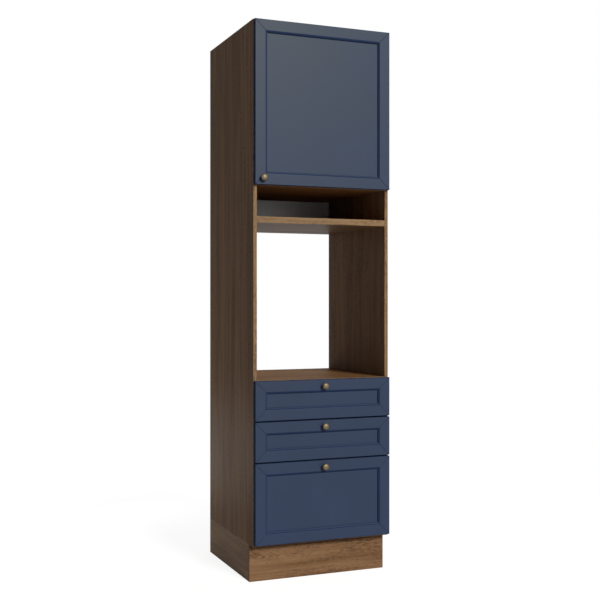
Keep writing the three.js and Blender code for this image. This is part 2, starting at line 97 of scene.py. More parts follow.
SUPPORT_TONGUE = (2, 8, 12)  # thickness, width, and reach under the shelf


def linear(colour):
    """An sRGB hex colour as linear RGBA."""
    channels = [int(colour[i : i + 2], 16) / 255 for i in (0, 2, 4)]
    return (*(c / 12.92 if c <= 0.04045 else ((c + 0.055) / 1.055) ** 2.4 for c in channels), 1)


def add(tree, kind, settings=None, links=None):
    """Adds a node. A setting is one of its properties, its ramp's stops, or the value of a socket."""
    node = tree.nodes.new("ShaderNode" + kind)
    for key, value in (settings or {}).items():
        if key == "stops":
            ramp = node.color_ramp.elements
            while len(ramp) < len(value):
                ramp.new(0.5)
            for element, (position, colour) in zip(ramp, value):
                element.position = position
                element.color = colour
        elif isinstance(key, str) and hasattr(node, key):
            setattr(node, key, value)
        else:
            node.inputs[key].default_value = value
    for key, source in (links or {}).items():
        tree.links.new(source, node.inputs[key])
    return node


def new_finish(name, **shader_settings):
    """A material with its shader, and the object coordinates that its patterns read."""
    material = bpy.data.materials.new(name)
    material.use_nodes = True
    tree = material.node_tree
    tree.nodes.clear()
    sockets = {key.replace("_", " "): value for key, value in shader_settings.items()}
    shader = add(tree, "BsdfPrincipled", sockets)
    add(tree, "OutputMaterial", {}, {"Surface": shader.outputs["BSDF"]})
    place = add(tree, "TexCoord").outputs["Object"]
    return material, tree, shader, place


def grey(value):
    return (value, value, value, 1)


def emboss(tree, shader, pattern, strength, depth):
    """Gives a finish the relief of a pattern, with its strength and its depth in millimetres."""
    bump = add(tree, "Bump", {"Strength": strength, "Distance": depth * MM}, {"Height": pattern})
    tree.links.new(bump.outputs[0], shader.inputs["Normal"])


def steer(tree, shader, pattern, tones, roughness=None, relief=None):
    """Lets a pattern steer a finish: its colour from tone to tone, its roughness between two
    values, and its relief, a strength and a depth."""
    stops = [(position, linear(tone)) for position, tone in tones]
    colour = add(tree, "ValToRGB", {"stops": stops}, {"Fac": pattern}).outputs["Color"]
    tree.links.new(colour, shader.inputs["Base Color"])
    if roughness:
        ends = {"To Min": roughness[0], "To Max": roughness[1]}
        dullness = add(tree, "MapRange", ends, {"Value": pattern}).outputs[0]
        tree.links.new(dullness, shader.inputs["Roughness"])
    if relief:
        emboss(tree, shader, pattern, *relief)


# ---- Finishes ----

FACE_TONES = ("5D442C", "795E46", "8F7155")
# Lighter than the uprights' tones of the same walnut: painted light, raised for the light that the
# level boards' tops take from above
LEVEL_PAINTED_LIGHT_TONES = ("6A472B", "896441", "A17A52")
PLINTH_TONES = ("67482E", "856549", "9E7A59")
# Lighter than the side panel's tones of the same walnut: painted light, the brightening of the unit's
# lower side by light from the floor
PLINTH_SIDE_PAINTED_LIGHT_TONES = ("684C34", "876B50", "9F7F61")
BAND_TONES = ("76583A", "977A5B", "B3926D")
LEVEL_BAND_TONES = ("715437", "917557", "AC8C68")
PORE_COLOUR = "4A3423"
# How dark the printed pores are
FACE_PORES, PLINTH_PORES, BAND_PORES, LEVEL_BAND_PORES = 0.62, 0.75, 0.85, 0.75
# Where on the printed roll the patterns of the plinth's front and of the edge bands begin
PLINTH_START, BAND_START = 11.0, 17.0
# Press plates: the specular level that each leaves, and its least and most roughness
GLOSS, SATIN = (0.017, 0.38, 0.5), (0.013, 0.38, 0.5)
MATT, DULL = (0.007, 0.38, 0.5), (0.0028, 0.5, 0.6)
# The lacquer's specular level on the fronts' faces, on their edges, and on the moulding's ledges
FACE_SHEEN, EDGE_SHEEN, LEDGE_SHEEN = 0.24, 0.001, 0.08
LACQUER_TONES = ("283550", "2A3754")
# Lighter tones for the moulding's ledges that face up or to the right: painted light, where the key
# light falls on them
LEDGE_PAINTED_LIGHT_TONES = ("364059", "38435C")
LACQUER_TINT = (1, 1, 0.57, 1)  # reflections on it lean to yellow


def walnut_melamine(name, grain, tones, pores=FACE_PORES, plate=MATT, start=0.0):
    """Chipboard faced with printed melamine paper: straight walnut grain along one axis, soft wide
    bands, fine streaks, and short dark pores gathered in smudges. The press plate sets its sheen,
    and the start is where on the printed roll the pattern begins."""
    material, tree, shader, place = new_finish(name, Specular_IOR_Level=plate[0])

    def noise(across, along, detail, rough=0.5):
        """A pattern of this size in millimetres across the grain and along it."""
        sizes = [1 / (across * MM)] * 3
        sizes[grain] = 1 / (along * MM)
        roll = {"Scale": sizes, "Location": (start, start, start)}
        stretched = add(tree, "Mapping", roll, {"Vector": place}).outputs[0]
        settings = {"Scale": 1.0, "Detail": detail, "Roughness": rough}
        return add(tree, "TexNoise", settings, {"Vector": stretched}).outputs["Fac"]

    bands = noise(70, 1600, 2)
    streaks = noise(9, 420, 4, 0.6)
    fibres = noise(3, 70, 2)
    smudges = noise(34, 300, 1)
    # Real pores are 0.3 mm across, too fine to show in the render, so they're drawn coarser
    dashes = noise(4, 14, 1)
    # Each Math node takes its first socket times its second, plus its third
    scaled = {"operation": "MULTIPLY_ADD"}
    wide = add(tree, "Math", {**scaled, 1: 0.9, 2: -0.45}, {0: bands}).outputs[0]
    fine = add(tree, "Math", {**scaled, 1: 0.75}, {0: streaks, 2: wide}).outputs[0]
    tone = add(tree, "Math", {**scaled, 1: 0.35}, {0: fibres, 2: fine}).outputs[0]
    dark, middle, light = (linear(colour) for colour in tones)
    stops = [(0.15, dark), (0.52, middle), (0.9, light)]
    face = add(tree, "ValToRGB", {"stops": stops}, {"Fac": tone}).outputs["Color"]
    pore = add(tree, "Math", {"operation": "MULTIPLY"}, {0: dashes, 1: smudges}).outputs[0]
    pore_stops = [(0.22, grey(0)), (0.46, grey(1))]
    depth = add(tree, "ValToRGB", {"stops": pore_stops}, {"Fac": pore}).outputs["Color"]
    share = add(tree, "Math", {"operation": "MULTIPLY", 1: pores}, {0: depth}).outputs[0]
    # A Mix of colours has its share at socket 0, its colours at 6 and 7, and its result at 2
    pore_colour = {"data_type": "RGBA", 7: linear(PORE_COLOUR)}
    printed = add(tree, "Mix", pore_colour, {0: share, 6: face}).outputs[2]
    tree.links.new(printed, shader.inputs["Base Color"])
    ends = {"To Min": plate[1], "To Max": plate[2]}
    dullness = add(tree, "MapRange", ends, {"Value": streaks}).outputs[0]
    tree.links.new(dullness, shader.inputs["Roughness"])
    emboss(tree, shader, tone, strength=0.35, depth=0.08)
    return material


def raw_chipboard():
    """Cut edge of chipboard: pale chips and dark flecks of glued wood, rough and matt."""
    material, tree, shader, place = new_finish(
        "raw_chipboard_sawn", Roughness=0.85, Specular_IOR_Level=0.2
    )
    chips = add(tree, "TexVoronoi", {"Scale": 1 / (2.6 * MM)}, {"Vector": place}).outputs["Color"]
    tones = ((0.1, "8E7350"), (0.5, "B39A72"), (0.9, "CDB88F"))
    steer(tree, shader, chips, tones, relief=(0.5, 0.3))
    return material


def blue_lacquer(name, sheen, tones=LACQUER_TONES):
    """Fibreboard sprayed with satin lacquer: an even slate blue, with the faint ripple of sprayed
    paint and a soft sheen. The edges and mouldings drink more of the paint and stay duller.
    Lighter tones, when given, are painted light, as on the ledges that face up or to the right."""
    material, tree, shader, place = new_finish(name, Specular_IOR_Level=sheen)
    shader.inputs["Specular Tint"].default_value = LACQUER_TINT
    spray = {"Scale": 1 / (180 * MM), "Detail": 2}
    clouds = add(tree, "TexNoise", spray, {"Vector": place}).outputs["Fac"]
    steer(tree, shader, clouds, ((0.3, tones[0]), (0.7, tones[1])), roughness=(0.44, 0.5))
    droplets = {"Scale": 1 / (2.5 * MM), "Detail": 1}
    ripple = add(tree, "TexNoise", droplets, {"Vector": place}).outputs["Fac"]
    emboss(tree, shader, ripple, strength=0.12, depth=0.02)
    return material


def white_hardboard():
    """The painted face of thin hardboard: rolled off-white paint with a smooth sheen and faint
    streaks."""
    # The IOR is above that of paint, about 1.5, to match the sheen in the photograph
    material, tree, shader, place = new_finish("white_painted_hardboard", IOR=2.3)
    # Streaks of the paint roller, 25 mm wide and about 170 mm tall
    roll = add(tree, "Mapping", {"Scale": (40, 40, 6)}, {"Vector": place}).outputs[0]
    streaks = add(tree, "TexNoise", {"Scale": 1.0, "Detail": 3}, {"Vector": roll}).outputs["Fac"]
    steer(tree, shader, streaks, ((0.3, "B4B4B2"), (0.7, "BEBEBC")), roughness=(0.3, 0.38))
    return material


def raw_hardboard():
    """The bare rear of hardboard: brown pressed fibre with the print of the press's wire screen."""
    material, tree, shader, place = new_finish(
        "raw_hardboard_pressed", Roughness=0.75, Specular_IOR_Level=0.25
    )
    pulp = {"Scale": 1 / (6 * MM), "Detail": 6, "Roughness": 0.7}
    fibre = add(tree, "TexNoise", pulp, {"Vector": place}).outputs["Fac"]
    steer(tree, shader, fibre, ((0.3, "6E4C33"), (0.55, "80593C"), (0.8, "93694A")))
    screen = {"Scale": 1 / (1.6 * MM), "Randomness": 0.15}
    wires = add(tree, "TexVoronoi", screen, {"Vector": place}).outputs["Distance"]
    emboss(tree, shader, wires, strength=0.4, depth=0.1)
    return material


def aged_brass():
    """Turned brass, darkened in a bath and rubbed back: bright on the crown of the head, brown in
    the neck, under a thin clear lacquer. The piece's own wear attribute says how far it was
    rubbed."""
    material, tree, shader, place = new_finish(
        "aged_brass_rubbed", Metallic=1.0, Coat_Weight=0.4, Coat_Roughness=0.3
    )
    rubbed = add(tree, "Attribute", {"attribute_name": "wear"}).outputs["Fac"]
    patches = {"Scale": 1 / (4 * MM), "Detail": 4}
    bath = add(tree, "TexNoise", patches, {"Vector": place}).outputs["Fac"]
    half = {"operation": "MULTIPLY_ADD", 1: 0.5}
    share = add(tree, "Math", half, {0: bath, 2: rubbed}).outputs[0]
    tones = ((0.25, "46372A"), (0.6, "665841"), (1.0, "786A54"))
    steer(tree, shader, share, tones, roughness=(0.65, 0.52))
    return material


def nickel_steel():
    """Pressed steel plated with bright nickel: pale and smooth, with faint press marks."""
    material, tree, shader, place = new_finish("nickel_plated_steel_pressed", Metallic=1.0)
    press = {"Scale": 1 / (5 * MM), "Detail": 4}
    marks = add(tree, "TexNoise", press, {"Vector": place}).outputs["Fac"]
    steer(tree, shader, marks, ((0.3, "B9B7B0"), (0.7, "CFCDC7")), roughness=(0.2, 0.34))
    return material


def white_epoxy():
    """Folded steel with baked white epoxy powder: satin, with the powder's fine orange peel."""
    material, tree, shader, place = new_finish("white_epoxy_coated_steel", Specular_IOR_Level=0.5)
    powder = {"Scale": 1 / (1.2 * MM), "Detail": 2}
    peel = add(tree, "TexNoise", powder, {"Vector": place}).outputs["Fac"]
    tones = ((0.3, "DCD9D2"), (0.7, "E4E1DA"))
    steer(tree, shader, peel, tones, roughness=(0.32, 0.42), relief=(0.2, 0.05))
    return material


def white_nylon():
    """Moulded nylon of the rollers: cloudy white, waxy, with light passing a little way in."""
    material, tree, shader, place = new_finish("white_nylon_moulded", Specular_IOR_Level=0.4)
    shader.inputs["Subsurface Weight"].default_value = 0.2
    shader.inputs["Subsurface Radius"].default_value = (2 * MM, 2 * MM, 1.6 * MM)
    melt = {"Scale": 1 / (5 * MM), "Detail": 3}
    cloud = add(tree, "TexNoise", melt, {"Vector": place}).outputs["Fac"]
    steer(tree, shader, cloud, ((0.3, "D2D0C8"), (0.7, "DEDCD5")), roughness=(0.4, 0.52))
    return material


def brown_plastic():
    """Moulded polyethylene of the cover caps: dull brown, with the mould's fine spark texture."""
    material, tree, shader, place = new_finish("brown_polyethylene_moulded", Specular_IOR_Level=0.35)
    mould = {"Scale": 1 / (0.8 * MM), "Detail": 2}
    spark = add(tree, "TexNoise", mould, {"Vector": place}).outputs["Fac"]
    tones = ((0.3, "5A4331"), (0.7, "644B38"))
    steer(tree, shader, spark, tones, roughness=(0.45, 0.6), relief=(0.3, 0.04))
    return material


def grey_felt():
    """Pressed wool felt of the buffers: dull grey fibres in all directions, with a soft nap."""
    material, tree, shader, place = new_finish(
        "grey_wool_felt_pressed", Roughness=0.95, Sheen_Weight=0.3
    )
    fibres = {"Scale": 1 / (0.6 * MM), "Detail": 5, "Roughness": 0.7}
    wool = add(tree, "TexNoise", fibres, {"Vector": place}).outputs["Fac"]
    steer(tree, shader, wool, ((0.3, "8B8983"), (0.7, "A9A7A0")), relief=(0.6, 0.2))
    return material


X_AXIS, Y_AXIS, Z_AXIS = range(3)
upright = walnut_melamine("walnut_melamine_upright", Z_AXIS, FACE_TONES)
across = walnut_melamine("walnut_melamine_across", X_AXIS, LEVEL_PAINTED_LIGHT_TONES, plate=DULL)
under_oven_shelf = walnut_melamine("walnut_melamine_across_satin", X_AXIS, FACE_TONES, plate=SATIN)
lengthwise = walnut_melamine("walnut_melamine_lengthwise", Y_AXIS, FACE_TONES)
upright_inside = walnut_melamine("walnut_melamine_upright_satin", Z_AXIS, FACE_TONES, plate=SATIN)
plinth_across = walnut_melamine(
    "walnut_melamine_plinth", X_AXIS, PLINTH_TONES, PLINTH_PORES, start=PLINTH_START
)
plinth_lengthwise_painted_light = walnut_melamine(
    "walnut_melamine_plinth_side_painted_light", Y_AXIS, PLINTH_SIDE_PAINTED_LIGHT_TONES, plate=GLOSS
)
band_upright = walnut_melamine(
    "walnut_edge_band_upright", Z_AXIS, BAND_TONES, BAND_PORES, start=BAND_START
)
band_across = walnut_melamine(
    "walnut_edge_band_across", X_AXIS, LEVEL_BAND_TONES, LEVEL_BAND_PORES, start=BAND_START
)
chipboard = raw_chipboard()
lacquer = blue_lacquer("blue_satin_lacquer", FACE_SHEEN)
edge_lacquer = blue_lacquer("blue_lacquer_on_edges", EDGE_SHEEN)
ledge_painted_light_lacquer = blue_lacquer("blue_lacquer_on_ledges_painted_light", LEDGE_SHEEN, LEDGE_PAINTED_LIGHT_TONES)
hardboard = white_hardboard()
hardboard_rear = raw_hardboard()
brass = aged_brass()
nickel = nickel_steel()
epoxy = white_epoxy()
nylon = white_nylon()
cap_plastic = brown_plastic()
felt = grey_felt()


def finish_for(node):
    """The finish of a node of the solids, by its name."""
    if "hinge" in node:
        return nickel
    if "runner" in node:
        return epoxy
    if "knob" in node:
        return brass
    if "back_panel" in node or node.endswith("_bottom"):
        return hardboard
    if node.startswith("door_") or "_front_" in node:
        return lacquer
    if node in ("left_side_panel", "right_side_panel"):
        return upright
    if node in ("plinth_left_side", "plinth_right_side"):
        return plinth_lengthwise_painted_light
    if node.endswith(("_left_side", "_right_side")):
        return lengthwise
    if node in ("plinth_front", "plinth_back"):
        return plinth_across
    return across


for name, node in frame["nodes"].items():
    node.data.materials.clear()
    node.data.materials.append(finish_for(name))


def refinish(node, finish, chosen):
    """Gives a second finish to the faces of a node of the solids that a test chooses."""
    mesh = frame["nodes"][node].data
    mesh.materials.append(finish)
    for face in mesh.polygons:
        if chosen(face):
            face.material_index = len(mesh.materials) - 1


SQUARE_ON = 0.9  # a normal that reaches this far along an axis looks that way
LEVEL_ON = 0.995  # and one that reaches this far belongs to a front's flat face
SLANTED = 0.01  # a mitre groove's normal has more than this of sideways times upward
STEEP = 0.5  # of a moulding that faces up or to the right, from here on
EDGE_CLEAR = 5 * MM  # of a front's top and side edges


def looking(axis, way):
    """A test for faces that look along an axis, onward where the way is 1 and back where it's -1."""
    return lambda face: face.normal[axis] * way > SQUARE_ON


rear_face = looking(Y_AXIS, 1)
under_face = looking(Z_AXIS, -1)


def end_face(face):
    """Faces that look up or down, such as the ends of an upright board."""
    return abs(face.normal.z) > SQUARE_ON


def turned_off(face):
    """Faces of a front that look neither forward nor back, its edges and moulding. Its mitre
    grooves, which look both sideways and up or down, aren't among them."""
    return abs(face.normal.y) < LEVEL_ON and abs(face.normal.x * face.normal.z) < SLANTED


def ledge(front_top, front_side):
    """A test for the steep parts of a front's moulding that face up or to the right, and not for
    its top and side edges."""

    def chosen(face):
        clear = face.center.z < front_top - EDGE_CLEAR and face.center.x < front_side - EDGE_CLEAR
        return clear and turned_off(face) and max(face.normal.x, face.normal.z) > STEEP

    return chosen


DRAWERS = ("drawer_1", "drawer_2", "drawer_3")
LEVEL_BOARDS = (
    "bottom_panel", "oven_deck", "oven_shelf", "cupboard_floor", "cupboard_shelf", "top_panel",
)
SIDE_BOARDS = ("left_side_panel", "right_side_panel")
FRONT_MEMBERS = (
    "door_left_stile", "door_right_stile", "door_top_rail", "door_bottom_rail",
    *(drawer + "_front_frame" for drawer in DRAWERS),
)
for board in (*LEVEL_BOARDS, *SIDE_BOARDS):
    refinish(board, chipboard, rear_face)
for board in SIDE_BOARDS:
    refinish(board, chipboard, end_face)
for board in ("plinth_front", "plinth_left_side", "plinth_right_side", "plinth_back"):
    refinish(board, chipboard, under_face)
for sheet in ("lower_back_panel", "upper_back_panel"):
    refinish(sheet, hardboard_rear, rear_face)
refinish("oven_shelf", under_oven_shelf, under_face)
FRONT_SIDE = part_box("door_right_stile")[1].x
for name in FRONT_MEMBERS:
    highest = "door_top_rail" if name.startswith("door") else name
    refinish(name, edge_lacquer, turned_off)
    # The ledges get the lighter lacquer: painted light on faces that look up or to the right
    refinish(name, ledge_painted_light_lacquer, ledge(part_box(highest)[1].z, FRONT_SIDE))
refinish("right_side_panel", upright_inside, looking(X_AXIS, -1))
refinish("left_side_panel", upright_inside, looking(X_AXIS, 1))
for drawer in DRAWERS:
    refinish(drawer + "_bottom", hardboard_rear, under_face)
    for side in ("_left_side", "_right_side"):
        refinish(drawer + side, chipboard, rear_face)

# Rollers: a disc of nylon on the axle of each runner
ROLLER_GAP = 2.3 * MM  # a roller stands this far, or a little more, off what carries its runner
ROLLER_SET_IN = 12 * MM  # axle from the runner's end
CABINET_ROLLER = (9.6 * MM, 16.4 * MM)  # reach, and axle above the runner's lowest edge
DRAWER_ROLLER = (8.6 * MM, 8.5 * MM)


def on_roller(carrier, toward, axle, reach):
    """A test for faces that stand off the carrier's face at x and lie within reach of the axle."""

    def chosen(face):
        off = (face.center.x - carrier) * toward
        return off > ROLLER_GAP and math.hypot(face.center.y - axle[0], face.center.z - axle[1]) < reach

    return chosen


for drawer in DRAWERS:
    for side, toward in (("left", 1), ("right", -1)):
        rail = f"cabinet_runner_{drawer[-1]}_{side}"
        lo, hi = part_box(rail)
        reach, rise = CABINET_ROLLER
        panel = lo.x if side == "left" else hi.x
        refinish(rail, nylon, on_roller(panel, toward, (lo.y + ROLLER_SET_IN, lo.z + rise), reach))
        slide = f"{drawer}_{side}_runner"
        lo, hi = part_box(slide)
        reach, rise = DRAWER_ROLLER
        box_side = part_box(f"{drawer}_{side}_side")
        face_x = box_side[0].x if side == "left" else box_side[1].x
        refinish(slide, nylon, on_roller(face_x, -toward, (hi.y - ROLLER_SET_IN, lo.z + rise), reach))

# ---- Modelling ----

TOWARD = {
    "front": (math.pi / 2, 0, 0),
    "rear": (-math.pi / 2, 0, 0),
    "left": (0, math.pi / 2, math.pi),  # here and to the right, the fitting's own -X is up
    "right": (0, math.pi / 2, 0),
    "up": (0, 0, 0),
    "down": (math.pi, 0, 0),
}
SMOOTH = math.radians(40)
MERGE = 0.001 * MM  # corners nearer than this are one


def select_only(piece):
    bpy.ops.object.select_all(action="DESELECT")
    piece.select_set(True)
    bpy.context.view_layer.objects.active = piece


def edit(piece, chosen=None):
    """Opens a piece in edit mode with the faces selected that the test chooses, or all of them."""
    select_only(piece)
    bpy.context.tool_settings.mesh_select_mode = (False, False, True)
    bpy.ops.object.mode_set(mode="EDIT")
    bpy.ops.mesh.select_all(action="DESELECT" if chosen else "SELECT")
    if chosen:
        bpy.ops.object.mode_set(mode="OBJECT")
        for face in piece.data.polygons:
            face.select = chosen(face)
        bpy.ops.object.mode_set(mode="EDIT")


def close(piece):
    """Ends the editing of a piece with its faces turned outward, and smooths its round parts."""
    bpy.ops.mesh.select_all(action="SELECT")
    bpy.ops.mesh.remove_doubles(threshold=MERGE)
    bpy.ops.mesh.normals_make_consistent(inside=False)
    bpy.ops.object.mode_set(mode="OBJECT")
    bpy.ops.object.shade_smooth_by_angle(angle=SMOOTH)


def modify(piece, kind, **settings):
    """Adds a modifier with its settings and applies it."""
    select_only(piece)
    modifier = piece.modifiers.new(kind.lower(), kind)
    for key, value in settings.items():
        setattr(modifier, key, value)
    bpy.ops.object.modifier_apply(modifier=modifier.name)


def turned(rings, sides):
    """A turned form along +Z, drawn up from a disc through rings of radius and height."""
    radius, height = rings[0]
    bpy.ops.object.select_all(action="DESELECT")
    bpy.ops.mesh.primitive_circle_add(vertices=sides, radius=radius * MM, fill_type="NGON")
    piece = bpy.context.object
    edit(piece)
    for next_radius, next_height in rings[1:]:
        rise = (0, 0, (next_height - height) * MM)
        bpy.ops.mesh.extrude_region_move(TRANSFORM_OT_translate={"value": rise})
        bpy.ops.transform.resize(value=(next_radius / radius, next_radius / radius, 1))
        radius, height = next_radius, next_height
    close(piece)
    return piece


def slab(size, centre, rounding):
    """A flat board or strip with rounded edges, from a cube."""
    bpy.ops.object.select_all(action="DESELECT")
    bpy.ops.mesh.primitive_cube_add(size=1, location=centre, scale=size)
    bpy.ops.object.transform_apply(location=True, rotation=True, scale=True)
    piece = bpy.context.object
    modify(piece, "BEVEL", width=rounding, segments=2, limit_method="ANGLE")
    bpy.ops.object.shade_smooth_by_angle(angle=SMOOTH)
    return piece


def finished(piece, name, finish, body):
    """Names a piece, gives it its finish and rides it on its body."""
    piece.name = piece.data.name = name
    piece.data.materials.clear()
    piece.data.materials.append(finish)
    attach(piece, body)
    return piece


def fitted(model, name, finish, body, spots):
    """Copies a modelled fitting to its spots, each a place and a way to face, as one piece."""
    bpy.ops.object.select_all(action="DESELECT")
    for place, facing in spots:
        piece = model.copy()
        piece.data = model.data.copy()
        bpy.context.scene.collection.objects.link(piece)
        piece.location = place
        piece.rotation_euler = TOWARD[facing]
        piece.select_set(True)
    bpy.context.view_layer.objects.active = piece
    if len(spots) > 1:
        bpy.ops.object.join()
    bpy.ops.object.transform_apply(location=True, rotation=True, scale=True)
    return finished(piece, name, finish, body)


# ---- Curved members ----

BODIES = frame["record"]["behaviour"]["bodies"]
BODY_OF = {node: body for body, nodes in BODIES.items() for node in nodes}
CURVED = {
    "blue_lacquer": FRONT_MEMBERS,
    "nickel_plated_steel": [node for node in BODY_OF if node.endswith(("_hinge_cup", "_hinge_arm"))],
    "white_coated_steel": [node for node in BODY_OF if "runner" in node],
}
for slot, members in CURVED.items():
    for node in members:
        # The facets of a copy are joined, and shaded as the curves that they stand for
        piece = bpy.data.objects.new(node + "_finished", frame["nodes"][node].data.copy())
        piece.data.name = piece.name
        bpy.context.scene.collection.objects.link(piece)
        edit(piece)
        bpy.ops.mesh.remove_doubles(threshold=MERGE)
        bpy.ops.mesh.customdata_custom_splitnormals_clear()
        bpy.ops.object.mode_set(mode="OBJECT")
        bpy.ops.object.shade_smooth_by_angle(angle=SMOOTH)
        modify(piece, "WEIGHTED_NORMAL", keep_sharp=True)
        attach(piece, BODY_OF[node])
        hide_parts(node)

# ---- Edge bands ----


def band(name, node, finish, joint):
    """The strip glued along the front edge of a board, which leaves a joint where it meets another."""
    lo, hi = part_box(node)
    size = (hi.x - lo.x - 2 * joint, BAND, hi.z - lo.z)
    centre = ((lo.x + hi.x) / 2, lo.y - BAND / 2, (lo.z + hi.z) / 2)
    strip = slab(size, centre, rounding=BAND / 3)
    finished(strip, name, finish, "carcass")


for board in SIDE_BOARDS:
    band(board + "_edge_band", board, band_upright, 0)
for board in LEVEL_BOARDS:
    band(board + "_edge_band", board, band_across, BAND_JOINT)

# ---- Knobs ----


def knob_model():
    """A turned knob: foot, narrow neck and a flattened round head, worn bright on the crown."""
    knob = turned(KNOB_RINGS, sides=32)
    modify(knob, "SUBSURF", levels=2, render_levels=2)
    wear = knob.data.attributes.new("wear", "FLOAT", "POINT")
    crown = KNOB_RINGS[-1][1] * MM
    for vertex, mark in zip(knob.data.vertices, wear.data):
        mark.value = (vertex.co.z / crown) ** 2 * CROWN_WEAR
    return knob


KNOBS = (("door_knob", "door"), *((drawer + "_knob", drawer) for drawer in DRAWERS))
knob = knob_model()
for node, body in KNOBS:
    lo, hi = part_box(node)
    foot = ((lo.x + hi.x) / 2, hi.y, (lo.z + hi.z) / 2)
    piece = fitted(knob, node + "_turned", brass, body, [(foot, "front")])
    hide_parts(node)

# ---- Screws and small fittings ----


def screw_model():
    """A pan head with a cross recess, cut by a small cross drawn out of a cube."""
    head = turned(SCREW_RINGS, sides=20)
    arm = RECESS * MM
    bpy.ops.object.select_all(action="DESELECT")
    bpy.ops.mesh.primitive_cube_add(size=arm, location=(0, 0, SCREW_RINGS[-1][1] * MM))
    cross = bpy.context.object
    edit(cross, lambda face: not end_face(face))
    bpy.ops.mesh.extrude_faces_move(TRANSFORM_OT_shrink_fatten={"value": RECESS_REACH * MM})
    close(cross)
    modify(head, "BOOLEAN", operation="DIFFERENCE", object=cross, solver="EXACT")
    bpy.data.objects.remove(cross)
    return head


def support_model():
    """A shelf support: a collar against the side panel, and a tongue level with the collar's top.
    +Z points away from the panel and -X up."""
    support = turned(SUPPORT_RINGS, sides=24)
    size = Vector(SUPPORT_TONGUE) * MM
    centre = (size.x / 2 - SUPPORT_COLLAR * MM, 0, size.z / 2)
    tongue = slab(size, centre, rounding=size.x / 5)
    modify(support, "BOOLEAN", operation="UNION", object=tongue, solver="EXACT")
    bpy.data.objects.remove(tongue)
    return support


screw = screw_model()
cap = turned(CAP_RINGS, sides=24)
nail = turned(NAIL_RINGS, sides=12)
buffer = turned(BUFFER_RINGS, sides=16)
FRONTS_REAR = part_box("door_left_stile")[1].y  # the drawer fronts share this plane

# Screws of the hinges: two in each cup, two in each plate, and two in each arm that set the door
EAR_SPREAD = 22.5 * MM
EAR_OFFSET = 9.5 * MM
EAR_FACE = 0.9 * MM
WING_SPREAD = 17 * MM
WING_FACE = 2.5 * MM
WING_LINE = 37 * MM
ARM_SCREWS = (20 * MM, 50 * MM)
CARCASS_FRONT, PANEL_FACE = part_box("left_side_panel")[0].y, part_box("right_side_panel")[0].x
for hinge in ("lower_hinge", "upper_hinge"):
    lo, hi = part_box(hinge + "_cup")
    level = (lo.z + hi.z) / 2
    x, y = (lo.x + hi.x) / 2 - EAR_OFFSET, FRONTS_REAR + EAR_FACE
    spots = [((x, y, level + rise), "rear") for rise in (-EAR_SPREAD, EAR_SPREAD)]
    fitted(screw, hinge + "_cup_screws", nickel, "door", spots)
    x, y = PANEL_FACE - WING_FACE, CARCASS_FRONT + WING_LINE
    spots = [((x, y, level + rise), "left") for rise in (-WING_SPREAD, WING_SPREAD)]
    fitted(screw, hinge + "_plate_screws", nickel, "carcass", spots)
    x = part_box(hinge + "_arm")[0].x
    spots = [((x, CARCASS_FRONT + inset, level), "left") for inset in ARM_SCREWS]
    fitted(screw, hinge + "_arm_screws", nickel, "carcass", spots)

# Screws of the knobs, from the inside
for node, body in KNOBS:
    lo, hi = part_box(node)
    spots = [(((lo.x + hi.x) / 2, FRONTS_REAR, (lo.z + hi.z) / 2), "rear")]
    fitted(screw, node + "_screw", nickel, body, spots)

# Screws of the runners: four through each web into the panel, three up into each box side
WEB = 1.2 * MM
WEB_RISE = 10 * MM
WEB_SCREWS = tuple(inset * MM for inset in (35, 131, 259, 387))
FLANGE_INSET = 4.75 * MM
FLANGE_SCREWS = tuple(inset * MM for inset in (60, 225, 400))
for drawer in DRAWERS:
    for side, toward in (("left", 1), ("right", -1)):
        facing = "right" if side == "left" else "left"
        rail = f"cabinet_runner_{drawer[-1]}_{side}"
        lo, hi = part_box(rail)
        x = (lo.x if side == "left" else hi.x) + toward * WEB
        spots = [((x, lo.y + inset, lo.z + WEB_RISE), facing) for inset in WEB_SCREWS]
        fitted(screw, rail + "_screws", nickel, "carcass", spots)
        lo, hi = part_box(f"{drawer}_{side}_side")
        x = (lo.x if side == "left" else hi.x) + toward * FLANGE_INSET
        spots = [((x, lo.y + inset, lo.z - WEB), "down") for inset in FLANGE_SCREWS]
        fitted(screw, f"{drawer}_{side}_runner_screws", nickel, drawer, spots)

# Cover caps over the connectors that pull the boards together, on the faces out of the
# photograph's view
CAP_INSET = 34 * MM
CAP_LINES = (50 * MM, 530 * MM)
CAPPED = (
    ("bottom_panel", "up"), ("oven_deck", "down"), ("oven_shelf", "up"), ("cupboard_floor", "up"),
    ("top_panel", "down"),
)
for board, facing in CAPPED:
    lo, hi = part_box(board)
    z = hi.z if facing == "up" else lo.z
    columns = (lo.x + CAP_INSET, hi.x - CAP_INSET)
    spots = [((x, lo.y + y, z), facing) for x in columns for y in CAP_LINES]
    fitted(cap, board + "_cover_caps", cap_plastic, "carcass", spots)

# Supports of the loose shelf, from the side panels
support = support_model()
SUPPORT_LINES = (60 * MM, 480 * MM)
lo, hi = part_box("cupboard_shelf")
walls = ((-PANEL_FACE, "right"), (PANEL_FACE, "left"))
z = lo.z - SUPPORT_COLLAR * MM
spots = [((x, lo.y + y, z), facing) for x, facing in walls for y in SUPPORT_LINES]
fitted(support, "cupboard_shelf_supports", nickel, "carcass", spots)

# Felt buffers behind the door's free corners and the upper corners of the drawer fronts
BUFFER_INSET = 8 * MM  # from a front's side edges, and from the door's top
BUFFER_LEVEL = 14 * MM  # from a drawer front's top, and from the door's lower edge
lo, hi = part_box("door_left_stile")
levels = (lo.z + BUFFER_LEVEL, hi.z - BUFFER_INSET)
spots = [((lo.x + BUFFER_INSET, FRONTS_REAR, z), "rear") for z in levels]
fitted(buffer, "door_buffers", felt, "door", spots)
for drawer in DRAWERS:
    lo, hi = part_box(drawer + "_front_frame")
    columns = (lo.x + BUFFER_INSET, hi.x - BUFFER_INSET)
    spots = [((x, FRONTS_REAR, hi.z - BUFFER_LEVEL), "rear") for x in columns]
    fitted(buffer, drawer + "_buffers", felt, drawer, spots)

